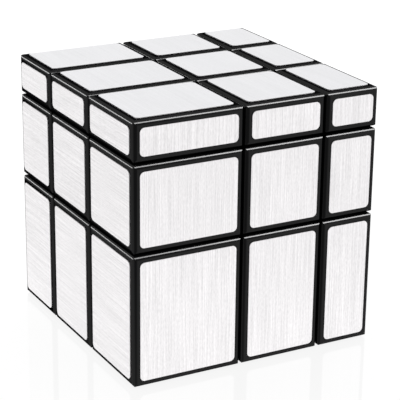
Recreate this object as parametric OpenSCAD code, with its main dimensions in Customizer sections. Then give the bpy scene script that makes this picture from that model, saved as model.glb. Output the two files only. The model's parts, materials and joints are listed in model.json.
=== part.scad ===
// Twisty puzzle cube with unequal layers. Twenty-six blocks turn in nine-block face layers around a six-armed core.
// The middle layer is equally thick along all three axes, so any block fits any place of its kind.
// Origin: centre of the bottom face. X points right, Y points back, Z points up. Millimetres.

/* [Overall] */
// Length of the cube's side, foil panels included
cube_side = 57; // [56:0.5:58]
// Thickness of the middle layer, the same along X, Y and Z
middle_w = 19; // [18.8:0.1:19.4]
// Thickness of the left layer
left_w = 25; // [24:0.5:26]
// Thickness of the front layer
front_w = 21; // [20:0.5:22]
// Thickness of the top layer
top_w = 9; // [9:0.1:9.5]

/* [Blocks] */
// Gap between two neighbouring blocks
block_gap = 0.3; // [0.2:0.05:0.4]
// Rounding of the blocks' outer edges
block_r = 0.9; // [0.6:0.1:1.1]
// Wall of the hollow blocks
wall_t = 1.6; // [1.4:0.1:1.8]
// Thickness of the rim that holds the sliding feet, at the thinnest layer
rim_t = 1.8; // [1.6:0.05:1.9]
// How far the feet reach inwards past the middle layer's cut
foot_depth = 3; // [2.8:0.1:3.2]

/* [Foil panels] */
// Thickness of a foil panel
foil_t = 0.2; // [0.1:0.05:0.3]
// Black border around a foil panel
foil_border = 1.4; // [1.2:0.1:1.5]
// Corner radius of a foil panel
foil_r = 1; // [0.8:0.1:1.4]

/* [Core, screws and springs] */
// Radius of the core's ball
ball_r = 5.4; // [5:0.1:5.6]
// Radius of the core's arms
arm_r = 3; // [2.8:0.1:3.2]
// Length of the core's arms from the core's centre
arm_l = 9; // [8.8:0.1:9.1]
// Radial clearance of a centre's hub on its arm
arm_clearance = 0.08; // [0.05:0.01:0.1]
// Outer radius of a centre's hub
hub_r = 5.2; // [5:0.1:5.3]
// Radius of the screws' shanks
shank_r = 1.1; // [1:0.05:1.2]
// Radius of the screws' heads
head_r = 2.5; // [2.3:0.1:2.6]
// Wire radius of the springs
wire_r = 0.25; // [0.2:0.05:0.25]
// Rise of a spring's coil in one turn
coil_pitch = 0.6; // [0.6:0.05:0.8]

/* [Hidden] */
$fn = 64;
g = block_gap / 2;
half = middle_w / 2;
// radius of the round groove that the feet slide in, about every turning axis
groove_r = half + top_w - foil_t - rim_t;
// distance from the core's centre to the plane where the feet begin
foot_at = half - foot_depth;
// small space between two pieces that are pressed together
seam = 0.03;
// a cut reaches this far past the face that it opens
past = 1;

// distance of each outer face from the core's centre: [negative side, positive side] along X, Y and Z
reach = [
  [left_w + half, cube_side - left_w - half],
  [front_w + half, cube_side - front_w - half],
  [cube_side - top_w - half, top_w + half]
];
core_at = [reach[0][0] - cube_side / 2, reach[1][0] - cube_side / 2, reach[2][0]];

// the stack on every arm, measured from the core's centre: arm, hub's floor, spring, washer, screw's head
arm_end_gap = 0.1;
hub_floor_at = arm_l + arm_end_gap;
hub_floor_t = 1.5;
hub_below_groove = 0.7;
hub_top = groove_r - hub_below_groove;
head_room = 0.7;
head_t = 1.5;
head_at = hub_top - head_room - head_t;
washer_t = 0.3;
washer_at = head_at - seam - washer_t;
spring_at = hub_floor_at + hub_floor_t + seam;
spring_l = washer_at - seam - spring_at;

// the round openings in that stack, and the screws
pocket_r = head_r + 0.6;
hub_hole_r = shank_r + 0.2;
washer_hole_r = shank_r + 0.1;
pilot_r = shank_r + 0.02;
screw_tip = 3.5;
pilot_at = screw_tip - 0.5;
recess_l = 3;
recess_w = 0.7;
recess_t = 0.8;

// how far a centre's cap reaches below the groove's radius, and the depth from which a cap is made hollow
cap_below_groove = 3;
least_hollow = 3 * wall_t;

// the springs' coils
coil_r = 1.75;
coil_steps = 16;
wire_sides = 6;

// the six outward directions
LEFT = [-1, 0, 0];
RIGHT = [1, 0, 0];
FRONT = [0, -1, 0];
BACK = [0, 1, 0];
BOTTOM = [0, 0, -1];
TOP = [0, 0, 1];
DIRECTIONS = [LEFT, RIGHT, FRONT, BACK, BOTTOM, TOP];

black = [0.03, 0.03, 0.035];
silver = [0.86, 0.87, 0.88];
steel = [0.6, 0.6, 0.62];
core_white = [0.9, 0.9, 0.88];

// where a block begins and ends along one axis, from the core's centre; side is -1, 0 or 1
function outer(axis, side) = reach[axis][side < 0 ? 0 : 1] - foil_t;
function low(axis, side) = side == 0 ? -half + g : side > 0 ? half + g : -outer(axis, side);
function high(axis, side) = side == 0 ? half - g : side > 0 ? outer(axis, side) : -half - g;
function lows(place) = [for (axis = [0:2]) low(axis, place[axis])];
function highs(place) = [for (axis = [0:2]) high(axis, place[axis])];
function is_side(place, axis) = place[axis] != 0;
function sides_of(place) = [for (axis = [0:2]) if (is_side(place, axis)) axis];

// a rectangle with rounded corners
module rounded_rectangle(size, r) {
  square([size[0] - 2 * r, size[1]], center = true);
  square([size[0], size[1] - 2 * r], center = true);
  for (x = [-1, 1], y = [-1, 1]) {
    translate([x * (size[0] / 2 - r), y * (size[1] / 2 - r)]) circle(r);
  }
}

// a box from one corner to the other, with all its edges rounded
module rounded_box(from, to, r) {
  size = to - from;
  translate((from + to) / 2) intersection() {
    linear_extrude(size[2], center = true) rounded_rectangle([size[0], size[1]], r);
    rotate([90, 0, 0]) linear_extrude(size[1], center = true) rounded_rectangle([size[0], size[2]], r);
    rotate([90, 0, 90]) linear_extrude(size[0], center = true) rounded_rectangle([size[1], size[2]], r);
  }
}

// a plain box from one corner to the other
module box(from, to) {
  translate([min(from[0], to[0]), min(from[1], to[1]), min(from[2], to[2])])
    cube([abs(to[0] - from[0]), abs(to[1] - from[1]), abs(to[2] - from[2])]);
}

// turns a shape that points up so that it points along one of the six directions
module pointing(direction) {
  turn = direction[2] < 0 ? [180, 0, 0] : [-90 * direction[1], 90 * direction[0], 0];
  rotate(turn) children();
}

// a round bar about an axis, across the whole cube
module bar(axis, r) {
  turn = axis == 0 ? [0, 90, 0] : axis == 1 ? [90, 0, 0] : [0, 0, 0];
  rotate(turn) cylinder(r = r, h = 2 * cube_side, center = true);
}

// the two discs that a block of the middle layer leaves free, for the feet of the layers beside it
module groove_discs(axis) {
  turn = axis == 0 ? [0, 90, 0] : axis == 1 ? [90, 0, 0] : [0, 0, 0];
  rotate(turn) for (side = [-1, 1]) {
    translate([0, 0, side * (foot_at - g + half) - half]) cylinder(r = groove_r + g, h = middle_w);
  }
}

// a block's visible shape: rounded outside, and cut free of the round grooves
module block(place) {
  difference() {
    rounded_box(lows(place), highs(place), block_r);
    for (axis = [0:2]) {
      if (!is_side(place, axis)) groove_discs(axis);
    }
  }
}

// the space inside a hollow block, with a wall all round; it keeps clear of the round grooves
module hollow(place) {
  difference() {
    box([for (v = lows(place)) v + wall_t], [for (v = highs(place)) v - wall_t]);
    for (axis = [0:2]) {
      if (!is_side(place, axis)) bar(axis, groove_r + g + wall_t);
    }
  }
}

// the inner part of an edge or a corner, which slides in the grooves: it begins at the foot plane
module foot(place) {
  from = foot_at + g;
  to = groove_r - g;
  intersection() {
    box(
      [for (s = place) s == 0 ? -(foot_at - g) : s * from],
      [for (s = place) s == 0 ? foot_at - g : s * to]
    );
    intersection_for (axis = sides_of(place)) bar(axis, to);
  }
}

// the opening in a shell that a foot is pressed into
module foot_socket(place) {
  is_corner = len(sides_of(place)) == 3;
  to = seam + (is_corner ? sqrt(pow(groove_r - g, 2) - pow(half + g, 2)) : groove_r - g);
  box(
    [for (s = place) s == 0 ? -(foot_at - g + seam) : s * (half + g - past)],
    [for (s = place) s == 0 ? foot_at - g + seam : s * to]
  );
}

// an edge or a corner: the hollow shell and the foot in it
module shell_with_foot(place) {
  difference() {
    block(place);
    foot_socket(place);
    hollow(place);
  }
  foot(place);
}

// the part of a centre that turns on the core's arm, with the pocket for the spring and the screw's head
module centre_hub() {
  from = foot_at + g;
  difference() {
    translate([0, 0, from]) cylinder(r = hub_r, h = hub_top - from);
    translate([0, 0, from - past]) cylinder(r = arm_r + arm_clearance, h = hub_floor_at - from + past);
    cylinder(r = hub_hole_r, h = hub_top);
    translate([0, 0, hub_floor_at + hub_floor_t]) cylinder(r = pocket_r, h = groove_r);
  }
}

// the visible block of a centre, open below for the hub, and hollow where its layer is thick
module centre_cap(place) {
  axis = sides_of(place)[0];
  end = outer(axis, place[axis]);
  cap_from = groove_r - cap_below_groove;
  hollow_from = groove_r + wall_t;
  difference() {
    intersection() {
      block(place);
      pointing(place) translate([0, 0, cap_from]) cylinder(r = cube_side, h = end);
    }
    pointing(place) cylinder(r = hub_r + seam, h = hub_top + seam);
    if (end - hollow_from > least_hollow) {
      inside = half - g - wall_t;
      pointing(place) {
        box([-inside, -inside, hollow_from], [inside, inside, end - wall_t]);
        cylinder(r = pocket_r, h = hollow_from + past);
      }
    }
  }
}

// a centre: the hub on the core's arm and the cap on the hub
module centre(place) {
  pointing(place) centre_hub();
  centre_cap(place);
}

// one foil panel on the outer face of a block, in the direction given
module foil(place, direction) {
  axis = sides_of(direction)[0];
  middle = (lows(place) + highs(place)) / 2;
  size = highs(place) - lows(place) - 2 * [foil_border, foil_border, foil_border];
  // pointing() carries the panel's own x and y to these two axes of the cube
  across = axis == 0 ? [size[2], size[1]] : axis == 1 ? [size[0], size[2]] : [size[0], size[1]];
  at = [for (i = [0:2]) i == axis ? 0 : middle[i]];
  translate(at) pointing(direction) translate([0, 0, outer(axis, direction[axis])]) {
    linear_extrude(foil_t) rounded_rectangle(across, foil_r);
  }
}

// every foil panel of one block
module foils(place) {
  color(silver) translate(core_at) {
    for (direction = DIRECTIONS) {
      if (place * direction > 0) foil(place, direction);
    }
  }
}

module centre_block(place) {
  color(black) translate(core_at) centre(place);
}

module block_with_foot(place) {
  color(black) translate(core_at) shell_with_foot(place);
}

// the hub with six arms that everything turns on
module core() {
  color(core_white) translate(core_at) difference() {
    union() {
      sphere(ball_r);
      for (direction = DIRECTIONS) {
        pointing(direction) cylinder(r = arm_r, h = arm_l);
      }
    }
    for (direction = DIRECTIONS) {
      pointing(direction) translate([0, 0, pilot_at]) cylinder(r = pilot_r, h = arm_l);
    }
  }
}

// a pan-head screw with a cross recess
module screw() {
  difference() {
    union() {
      translate([0, 0, screw_tip]) cylinder(r = shank_r, h = head_at + head_t / 2 - screw_tip);
      translate([0, 0, head_at]) cylinder(r = head_r, h = head_t);
    }
    for (turn = [0, 90]) {
      rotate(turn) translate([-recess_l / 2, -recess_w / 2, head_at + head_t - recess_t])
        cube([recess_l, recess_w, head_t]);
    }
  }
}

module centre_screws() {
  color(steel) translate(core_at) for (direction = DIRECTIONS) {
    pointing(direction) screw();
  }
}

// a point on the surface of the spring's wire: step counts along the coil, side counts around the wire
function wire_point(step, side) =
  let (
    turn = 360 * step / coil_steps,
    lean = 360 * side / wire_sides,
    rise = coil_pitch * step / coil_steps,
    r = coil_r + wire_r * cos(lean)
  )
  [r * cos(turn), r * sin(turn), spring_at + wire_r + rise + wire_r * sin(lean)];

// a compression spring, from the hub's floor to the washer
module spring() {
  last = floor((spring_l - 2 * wire_r) / coil_pitch * coil_steps);
  polyhedron(
    points = [for (step = [0:last], side = [0:wire_sides - 1]) wire_point(step, side)],
    faces = concat(
      [[for (side = [0:wire_sides - 1]) side]],
      [for (step = [0:last - 1], side = [0:wire_sides - 1])
        let (a = step * wire_sides, b = a + wire_sides, next = (side + 1) % wire_sides)
        [a + side, b + side, b + next, a + next]],
      [[for (side = [0:wire_sides - 1]) (last + 1) * wire_sides - 1 - side]]
    )
  );
}

module centre_springs() {
  color(steel) translate(core_at) for (direction = DIRECTIONS) {
    pointing(direction) spring();
  }
}

module spring_washers() {
  color(steel) translate(core_at) for (direction = DIRECTIONS) {
    pointing(direction) translate([0, 0, washer_at]) difference() {
      cylinder(r = head_r, h = washer_t);
      translate([0, 0, -past]) cylinder(r = washer_hole_r, h = washer_t + 2 * past);
    }
  }
}

core();
centre_screws();
centre_springs();
spring_washers();

centre_block(LEFT);  // centre_left
centre_block(RIGHT);  // centre_right
centre_block(FRONT);  // centre_front
centre_block(BACK);  // centre_back
centre_block(BOTTOM);  // centre_bottom
centre_block(TOP);  // centre_top

block_with_foot(FRONT + LEFT);  // edge_front_left
block_with_foot(FRONT + RIGHT);  // edge_front_right
block_with_foot(BACK + LEFT);  // edge_back_left
block_with_foot(BACK + RIGHT);  // edge_back_right
block_with_foot(BOTTOM + LEFT);  // edge_bottom_left
block_with_foot(BOTTOM + RIGHT);  // edge_bottom_right
block_with_foot(TOP + LEFT);  // edge_top_left
block_with_foot(TOP + RIGHT);  // edge_top_right
block_with_foot(BOTTOM + FRONT);  // edge_bottom_front
block_with_foot(BOTTOM + BACK);  // edge_bottom_back
block_with_foot(TOP + FRONT);  // edge_top_front
block_with_foot(TOP + BACK);  // edge_top_back

block_with_foot(BOTTOM + FRONT + LEFT);  // corner_bottom_front_left
block_with_foot(BOTTOM + FRONT + RIGHT);  // corner_bottom_front_right
block_with_foot(BOTTOM + BACK + LEFT);  // corner_bottom_back_left
block_with_foot(BOTTOM + BACK + RIGHT);  // corner_bottom_back_right
block_with_foot(TOP + FRONT + LEFT);  // corner_top_front_left
block_with_foot(TOP + FRONT + RIGHT);  // corner_top_front_right
block_with_foot(TOP + BACK + LEFT);  // corner_top_back_left
block_with_foot(TOP + BACK + RIGHT);  // corner_top_back_right

foils(LEFT);  // foil_centre_left
foils(RIGHT);  // foil_centre_right
foils(FRONT);  // foil_centre_front
foils(BACK);  // foil_centre_back
foils(BOTTOM);  // foil_centre_bottom
foils(TOP);  // foil_centre_top

foils(FRONT + LEFT);  // foils_edge_front_left
foils(FRONT + RIGHT);  // foils_edge_front_right
foils(BACK + LEFT);  // foils_edge_back_left
foils(BACK + RIGHT);  // foils_edge_back_right
foils(BOTTOM + LEFT);  // foils_edge_bottom_left
foils(BOTTOM + RIGHT);  // foils_edge_bottom_right
foils(TOP + LEFT);  // foils_edge_top_left
foils(TOP + RIGHT);  // foils_edge_top_right
foils(BOTTOM + FRONT);  // foils_edge_bottom_front
foils(BOTTOM + BACK);  // foils_edge_bottom_back
foils(TOP + FRONT);  // foils_edge_top_front
foils(TOP + BACK);  // foils_edge_top_back

foils(BOTTOM + FRONT + LEFT);  // foils_corner_bottom_front_left
foils(BOTTOM + FRONT + RIGHT);  // foils_corner_bottom_front_right
foils(BOTTOM + BACK + LEFT);  // foils_corner_bottom_back_left
foils(BOTTOM + BACK + RIGHT);  // foils_corner_bottom_back_right
foils(TOP + FRONT + LEFT);  // foils_corner_top_front_left
foils(TOP + FRONT + RIGHT);  // foils_corner_top_front_right
foils(TOP + BACK + LEFT);  // foils_corner_top_back_left
foils(TOP + BACK + RIGHT);  // foils_corner_top_back_right
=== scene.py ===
"""Twisty puzzle cube with unequal layers: its materials, a white studio and the camera.

The CAD bodies are used as they are; every node gets the material of its slot in the record.
Lengths are in metres.
"""

import json
import math

import bpy
from mathutils import Matrix, Vector


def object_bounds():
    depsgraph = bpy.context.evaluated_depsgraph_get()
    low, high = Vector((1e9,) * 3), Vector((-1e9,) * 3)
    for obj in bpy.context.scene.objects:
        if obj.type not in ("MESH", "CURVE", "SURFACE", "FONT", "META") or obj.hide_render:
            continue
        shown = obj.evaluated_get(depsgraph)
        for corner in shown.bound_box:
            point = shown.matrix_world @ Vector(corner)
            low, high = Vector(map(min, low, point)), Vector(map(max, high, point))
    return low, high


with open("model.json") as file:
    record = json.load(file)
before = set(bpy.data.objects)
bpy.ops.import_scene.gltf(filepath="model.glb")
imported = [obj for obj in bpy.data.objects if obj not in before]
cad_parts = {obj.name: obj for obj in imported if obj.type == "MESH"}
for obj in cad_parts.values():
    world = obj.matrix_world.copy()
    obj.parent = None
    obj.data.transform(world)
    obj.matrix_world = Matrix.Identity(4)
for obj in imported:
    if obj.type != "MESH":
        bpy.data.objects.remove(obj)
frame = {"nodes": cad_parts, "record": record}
CAD_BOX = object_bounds()
MIDDLE = (CAD_BOX[0] + CAD_BOX[1]) / 2
MM = 0.001
LARGEST_OWN_NUMBER = 50.0


# ---------------------------------------------------------------- node trees


class Graph:
    """A node tree that is built one node at a time.

    An input is a number, a tuple or another node's output.
    """

    def __init__(self, owner):
        owner.use_nodes = True
        self.tree = owner.node_tree
        self.tree.nodes.clear()

    def add(self, kind, inputs=(), out=0, **settings):
        made = self.tree.nodes.new("ShaderNode" + kind)
        for name, value in settings.items():
            setattr(made, name, value)
        for key, value in dict(inputs).items():
            socket = made.inputs[key]
            if isinstance(value, bpy.types.NodeSocket):
                self.tree.links.new(value, socket)
            else:
                socket.default_value = value
        return made.outputs[out] if made.outputs else made

    def math(self, operation, *values):
        return self.add("Math", dict(enumerate(values)), operation=operation)

    def times(self, a, b):
        return self.math("MULTIPLY", a, b)

    def plus(self, a, b):
        return self.math("ADD", a, b)

    def vector_math(self, operation, *values):
        return self.add("VectorMath", dict(enumerate(values)), operation=operation)

    def separate(self, vector):
        x = self.add("SeparateXYZ", {0: vector})
        return x.node.outputs[0], x.node.outputs[1], x.node.outputs[2]

    def combine(self, x, y, z):
        return self.add("CombineXYZ", {0: x, 1: y, 2: z})

    def choose(self, factor, low, high):
        """low where factor is 0 and high where it is 1, for plain numbers."""
        return self.add("Mix", {0: factor, 2: low, 3: high})

    def blend(self, factor, low, high):
        """The same for colours."""
        return self.add("Mix", {0: factor, 6: low, 7: high}, out=2, data_type="RGBA")

    def ramp(self, value, low, high, to_low, to_high):
        inputs = {0: value, 1: low, 2: high, 3: to_low, 4: to_high}
        return self.add("MapRange", inputs, clamp=True)

    def noise(self, vector, scale, detail=3.0, roughness=0.6, offset=0.0):
        inputs = {"Vector": vector, "W": offset, "Scale": scale, "Detail": detail, "Roughness": roughness}
        return self.add("TexNoise", inputs, noise_dimensions="4D")

    def swing(self, noise, size):
        """A noise turned into a deviation from zero; size is its full swing."""
        return self.times(self.math("SUBTRACT", noise, 0.5), size)

    def bump(self, height, strength, distance):
        return self.add("Bump", {"Height": height, "Strength": strength, "Distance": distance})

    def millimetres(self):
        """The place on the piece, in millimetres; it stays with the piece when a layer turns."""
        place = self.add("TexCoord").node.outputs["Object"]
        return self.vector_math("MULTIPLY", place, (1 / MM, 1 / MM, 1 / MM))

    def own_number(self):
        """A number that differs from piece to piece, to shift a noise by."""
        return self.times(self.add("ObjectInfo").node.outputs["Random"], LARGEST_OWN_NUMBER)

    def facing(self):
        """1 where the surface faces the viewer, 0 where it is seen edge on."""
        shape = self.add("NewGeometry").node.outputs
        return self.vector_math("DOT_PRODUCT", shape["Normal"], shape["Incoming"]).node.outputs["Value"]

    def surface(self, inputs):
        shader = self.add("BsdfPrincipled", inputs)
        self.add("OutputMaterial", {0: shader})


def material(name):
    made = bpy.data.materials.new(name)
    return made, Graph(made)


# ---------------------------------------------------------------- brushed foil

FOIL_COLOUR = (0.811, 0.796, 0.804, 1)
# painted light: the left and right sides get a darker, shaded copy of the foil's colour, and the top and
# bottom a lighter, bluer, lit copy, for how the light falls on each face
FOIL_COLOUR_SHADED_ON_SIDES = (0.752, 0.738, 0.745, 1)
FOIL_COLOUR_LIT_ON_TOP = (0.870, 0.870, 0.888, 1)
FOIL_ROUGHNESS = 0.32
FOIL_ANISOTROPY = 0.55
# how many noise cells fit in a millimetre across the grain, and how much longer they are along it
HAIR_SCALE, HAIR_STRETCH = 5.0, 0.013
NICK_SCALE, NICK_STRETCH = 5.0, 0.25
BAND_SCALE, BAND_STRETCH = 0.35, 0.05
CLOUD_SCALE = 0.06
# full swing of the brightness
GRAIN_CONTRAST, GRAIN_CONTRAST_ON_TOP = 0.8, 0.22
NICK_SHARE = 0.5
BAND_CONTRAST = 0.08
CLOUD_CONTRAST = 0.05
GRAIN_ROUGHNESS_SWING = 0.2
HAIR_BUMP, HAIR_DEPTH = 0.06, 0.02 * MM
# the least part of the normal that counts as facing a side
SIDE_SHARE = 0.7


def foil_sides(g):
    """1 or 0 for each pair of sides that a foil can lie on: left or right, front or back, top or bottom."""
    normal = g.vector_math("ABSOLUTE", g.add("TexCoord").node.outputs["Normal"])
    return [g.math("GREATER_THAN", part, SIDE_SHARE) for part in g.separate(normal)]


def foil():
    """Brushed silver foil, with painted light: shaded on the left and right sides and lit on the top. The
    grain is upright on the front and back, and runs in depth elsewhere.
    """
    made, g = material("brushed_foil")
    on_side, on_front, on_top = foil_sides(g)
    x, y, z = g.separate(g.millimetres())
    across = g.choose(on_side, x, z)
    along = g.choose(on_front, y, z)
    own = g.own_number()

    hair = g.noise(g.combine(across, g.times(along, HAIR_STRETCH), 0.0), HAIR_SCALE, 3.0, 0.6, own)
    nick = g.noise(g.combine(across, g.times(along, NICK_STRETCH), 5.0), NICK_SCALE, 2.0, 0.5, own)
    band = g.noise(g.combine(across, g.times(along, BAND_STRETCH), 3.0), BAND_SCALE, 2.0, 0.5, own)
    cloud = g.noise(g.combine(across, along, 7.0), CLOUD_SCALE, 2.0, 0.5, own)
    contrast = g.choose(on_top, GRAIN_CONTRAST, GRAIN_CONTRAST_ON_TOP)
    grain = g.times(g.plus(g.swing(nick, NICK_SHARE), g.swing(hair, 1.0)), contrast)
    soft = g.plus(g.swing(band, BAND_CONTRAST), g.swing(cloud, CLOUD_CONTRAST))
    light = g.plus(g.plus(grain, soft), 1.0)
    # painted light on each face: the foil's colour is shaded on the left and right and lit on the top and
    # bottom
    tint_with_painted_face_light = g.blend(on_top, g.blend(on_side, FOIL_COLOUR, FOIL_COLOUR_SHADED_ON_SIDES), FOIL_COLOUR_LIT_ON_TOP)

    across_axis = g.combine(g.math("SUBTRACT", 1.0, on_side), 0.0, on_side)
    frames = {"vector_type": "VECTOR", "convert_from": "OBJECT", "convert_to": "WORLD"}
    g.surface({
        "Base Color": g.add("HueSaturation", {"Color": tint_with_painted_face_light, "Value": light}),
        "Metallic": 1.0,
        "Roughness": g.plus(g.times(grain, GRAIN_ROUGHNESS_SWING), FOIL_ROUGHNESS),
        "Anisotropic": FOIL_ANISOTROPY,
        "Tangent": g.add("VectorTransform", {0: across_axis}, **frames),
        "Normal": g.bump(hair, HAIR_BUMP, HAIR_DEPTH),
    })
    return made


# ---------------------------------------------------------------- plastics and steel

PLASTIC_COLOUR = (0.0009, 0.0009, 0.0010, 1)
DUST_COLOUR = (0.05, 0.05, 0.05, 1)
MOST_DUST = 0.02
PLASTIC_ROUGHNESS = 0.13
WORN_ROUGHNESS = 0.21
# noise cells in a millimetre
PLASTIC_GRAIN_SCALE = 6.0
WORN_PATCH_SCALE = 0.22
GRAIN_ROUGHNESS_OF_PLASTIC = 0.12
# The plastic's reflection is cut by how squarely the surface faces the viewer, a painted shade: its borders
# stay deep black at a glancing angle, and so do the roundings that face the camera. These are levels of its
# reflection.
REFLECTION_GLANCING = 0.0002
REFLECTION_FACING = 0.19
HEAD_ON_PAINTED_SHADE_SHARE = 0.3
# How far a surface faces the viewer, from 0 (edge on) to 1. The reflection starts between the first two,
# grows between the next two, and dims between the last two.
SEEN_EDGE_ON, SEEN_BARELY, SEEN_ASLANT, SEEN_WELL, SEEN_HEAD_ON = 0.08, 0.24, 0.36, 0.84, 0.92


# painted shade: the reflection is taken away edge on and at glancing angles, and dimmed head on, by the
# view angle alone
def plastic_reflection_with_painted_shade(g):
    facing = g.facing()
    level = g.ramp(facing, SEEN_ASLANT, SEEN_WELL, REFLECTION_GLANCING, REFLECTION_FACING)
    level = g.times(level, g.ramp(facing, SEEN_WELL, SEEN_HEAD_ON, 1.0, HEAD_ON_PAINTED_SHADE_SHARE))
    return g.times(level, g.ramp(facing, SEEN_EDGE_ON, SEEN_BARELY, 0.0, 1.0))


def black_plastic():
    """Moulded black plastic with a soft shine, a faint grain and a few duller patches from handling."""
    made, g = material("moulded_black_plastic")
    place = g.millimetres()
    own = g.own_number()
    grain = g.noise(place, PLASTIC_GRAIN_SCALE, 3.0, 0.6, own)
    patch = g.noise(place, WORN_PATCH_SCALE, 2.0, 0.5, own)
    worn = g.ramp(patch, 0.35, 0.7, PLASTIC_ROUGHNESS, WORN_ROUGHNESS)
    dust = g.ramp(grain, 0.62, 0.8, 0.0, MOST_DUST)
    g.surface({
        "Base Color": g.blend(dust, PLASTIC_COLOUR, DUST_COLOUR),
        "Roughness": g.plus(worn, g.swing(grain, GRAIN_ROUGHNESS_OF_PLASTIC)),
        # painted shade in the reflection, set by the view angle
        "Specular IOR Level": plastic_reflection_with_painted_shade(g),
        "Normal": g.bump(grain, 0.08, 0.02 * MM),
    })
    return made


CORE_COLOURS = (0.74, 0.73, 0.69, 1), (0.82, 0.81, 0.78, 1)
CORE_ROUGHNESS = 0.38, 0.5
SCREW_COLOUR, SCREW_ROUGHNESS = (0.62, 0.62, 0.64, 1), 0.28
SPRING_COLOUR, SPRING_ROUGHNESS = (0.5, 0.5, 0.52, 1), 0.22
SPOT_SHADE = 0.8


def core_plastic():
    """The core's off-white satin plastic."""
    made, g = material("satin_white_plastic")
    place = g.millimetres()
    grain = g.noise(place, 4.0, 4.0, 0.6)
    patch = g.noise(place, 0.3, 2.0, 0.5)
    g.surface({
        "Base Color": g.blend(patch, *CORE_COLOURS),
        "Roughness": g.ramp(grain, 0.3, 0.7, *CORE_ROUGHNESS),
        "Subsurface Weight": 0.05,
        "Subsurface Scale": 0.5 * MM,
        "Normal": g.bump(grain, 0.15, 0.03 * MM),
    })
    return made


def steel(name, colour, roughness):
    """Plated steel with fine drawing or turning marks."""
    made, g = material(name)
    place = g.millimetres()
    marks = g.noise(place, 8.0, 5.0, 0.7)
    spots = g.noise(place, 0.9, 3.0, 0.6)
    darker = tuple(c * SPOT_SHADE for c in colour[:3]) + (1,)
    g.surface({
        "Base Color": g.blend(spots, darker, colour),
        "Metallic": 1.0,
        "Roughness": g.ramp(marks, 0.3, 0.7, roughness - 0.06, roughness + 0.1),
        "Normal": g.bump(marks, 0.12, 0.02 * MM),
    })
    return made


def dress():
    """Gives every CAD node the material of its slot in the record."""
    by_slot = {
        "black_plastic": black_plastic(),
        "silver_foil": foil(),
        "core_plastic": core_plastic(),
        "screw_steel": steel("plated_screw_steel", SCREW_COLOUR, SCREW_ROUGHNESS),
        "spring_steel": steel("drawn_spring_steel", SPRING_COLOUR, SPRING_ROUGHNESS),
    }
    for part in frame["record"]["subparts"]:
        piece = frame["nodes"][part["node"]]
        piece.data.materials.clear()
        piece.data.materials.append(by_slot[part["material_slot"]])


# ---------------------------------------------------------------- studio

FLOOR_SIZE = 6.0
FLOOR_DROP = 0.02 * MM
# The floor is a lit white panel under a glossy sheet: it shows a faint clear reflection and no cast shadow.
# The camera sees its glow a little dimmer near the cube, a painted shade around the base.
FLOOR_GLOW_SHADED_AT_CUBE, FLOOR_GLOW_FAR = 0.882, 0.93
GLOW_NEAR, GLOW_FAR = 35 * MM, 100 * MM
# what it throws on the cube, which makes the foils a little brighter towards the bottom
FLOOR_LIGHT_AT_CUBE, FLOOR_LIGHT_FAR = 1.06, 0.90
LIGHT_NEAR, LIGHT_FAR = 30 * MM, 150 * MM
SHEET_COLOURS = (0.055, 0.055, 0.055, 1), (0.065, 0.065, 0.065, 1)
SHEET_ROUGHNESS = 0.03, 0.06
SHEET_REFLECTION = 0.18
ROOM_LEVEL_AT_HORIZON = 0.92
ROOM_LEVEL_OVERHEAD = 1.0


def floor_material():
    """Its glow is one level for the camera's own rays and another for the light that reaches the cube."""
    made, g = material("lit_white_panel")
    place = g.add("TexCoord").node.outputs["Object"]
    texture = g.noise(place, 60.0, 3.0, 0.5)
    distance = g.vector_math("LENGTH", place).node.outputs["Value"]
    # painted shade: the glow that the camera sees is dimmer near the cube
    seen_glow_with_painted_shade = g.ramp(distance, GLOW_NEAR, GLOW_FAR, FLOOR_GLOW_SHADED_AT_CUBE, FLOOR_GLOW_FAR)
    light = g.ramp(distance, LIGHT_NEAR, LIGHT_FAR, FLOOR_LIGHT_AT_CUBE, FLOOR_LIGHT_FAR)
    seen = g.add("LightPath").node.outputs["Is Camera Ray"]
    g.surface({
        "Base Color": g.blend(texture, *SHEET_COLOURS),
        "Roughness": g.ramp(texture, 0.3, 0.7, *SHEET_ROUGHNESS),
        "Specular IOR Level": SHEET_REFLECTION,
        "Emission Color": (1, 1, 1, 1),
        "Emission Strength": g.choose(seen, light, seen_glow_with_painted_shade),
    })
    return made


def floor():
    """One large flat sheet, just under the cube's resting face."""
    half = FLOOR_SIZE / 2
    corners = [(-half, -half, 0), (half, -half, 0), (half, half, 0), (-half, half, 0)]
    mesh = bpy.data.meshes.new("studio_floor")
    mesh.from_pydata(corners, [], [(0, 1, 2, 3)])
    mesh.materials.append(floor_material())
    sheet = bpy.data.objects.new("studio_floor", mesh)
    bpy.context.scene.collection.objects.link(sheet)
    sheet.location.z = CAD_BOX[0].z - FLOOR_DROP


def surroundings():
    """A white room: even light from all sides, a little brighter overhead."""
    world = bpy.data.worlds.new("white_room")
    bpy.context.scene.world = world
    g = Graph(world)
    up = g.separate(g.add("TexCoord").node.outputs["Generated"])[2]
    level = g.ramp(up, 0.0, 1.0, ROOM_LEVEL_AT_HORIZON, ROOM_LEVEL_OVERHEAD)
    light = g.add("Background", {"Color": (1, 1, 1, 1), "Strength": level})
    g.add("OutputWorld", {0: light})


def direction(azimuth, elevation):
    """From the cube towards a lamp or the camera, in degrees; azimuth 0 is its front and 90 its right."""
    a, e = math.radians(azimuth), math.radians(elevation)
    return Vector((math.sin(a) * math.cos(e), -math.cos(a) * math.cos(e), math.sin(e)))


def blocks_and_mechanism():
    """What the softboxes light: they draw thin highlights on the plastic and leave foil and floor alone."""
    group = bpy.data.collections.new("blocks_and_mechanism")
    for node, piece in frame["nodes"].items():
        if not node.startswith("foil"):
            group.objects.link(piece)
    return group


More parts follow.
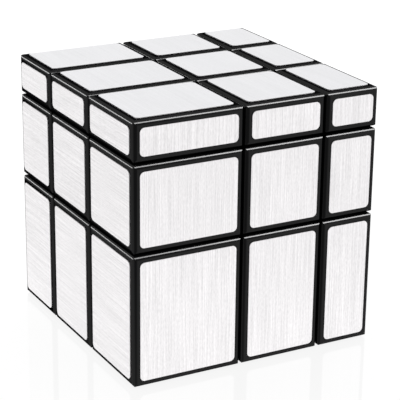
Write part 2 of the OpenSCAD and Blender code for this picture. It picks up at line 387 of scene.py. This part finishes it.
def softbox(name, lit, azimuth, elevation, distance, size, radiance):
    """A rectangular light aimed at the cube, which lights one collection only."""
    towards = direction(azimuth, elevation)
    data = bpy.data.lights.new(name, "AREA")
    data.shape = "RECTANGLE"
    data.size, data.size_y = size
    data.energy = radiance * math.pi * data.size * data.size_y
    lamp = bpy.data.objects.new(name, data)
    bpy.context.scene.collection.objects.link(lamp)
    lamp.location = MIDDLE + towards * distance
    lamp.rotation_mode = "QUATERNION"
    lamp.rotation_quaternion = towards.to_track_quat("Z", "Y")
    lamp.light_linking.receiver_collection = lit


def lights():
    lit = blocks_and_mechanism()
    softbox("key_softbox", lit, 40, 46, 1.0, (0.5, 0.32), 40.0)
    softbox("back_softbox", lit, 212, 11, 1.2, (0.5, 0.15), 30.0)


# ---------------------------------------------------------------- camera

CAMERA_AZIMUTH = -28.578
CAMERA_ELEVATION = 19.993
CAMERA_ROLL = math.radians(0.645)
CAMERA_DISTANCE = 0.35023
CAMERA_LENS = 143.69
# where the cube's middle appears, to the right of the picture's centre and above it
FRAME_OFFSET = (-1.647 * MM, 1.266 * MM)


def camera():
    """A long lens close to the cube, a little above it and to its left."""
    back = direction(CAMERA_AZIMUTH, CAMERA_ELEVATION)
    level_right = Vector((0, 0, 1)).cross(back).normalized()
    level_up = back.cross(level_right)
    right = math.cos(CAMERA_ROLL) * level_right + math.sin(CAMERA_ROLL) * level_up
    up = -math.sin(CAMERA_ROLL) * level_right + math.cos(CAMERA_ROLL) * level_up
    data = bpy.data.cameras.new("studio_camera")
    data.sensor_width = 36
    data.lens = CAMERA_LENS
    data.clip_start = 0.01
    data.clip_end = 100
    made = bpy.data.objects.new("studio_camera", data)
    bpy.context.scene.collection.objects.link(made)
    made.matrix_world = Matrix((right, up, back)).transposed().to_4x4()
    made.location = MIDDLE - right * FRAME_OFFSET[0] - up * FRAME_OFFSET[1] + back * CAMERA_DISTANCE
    bpy.context.scene.camera = made


# ---------------------------------------------------------------- the whole scene

bpy.context.scene.view_settings.view_transform = "Standard"
dress()
floor()
surroundings()
lights()
camera()
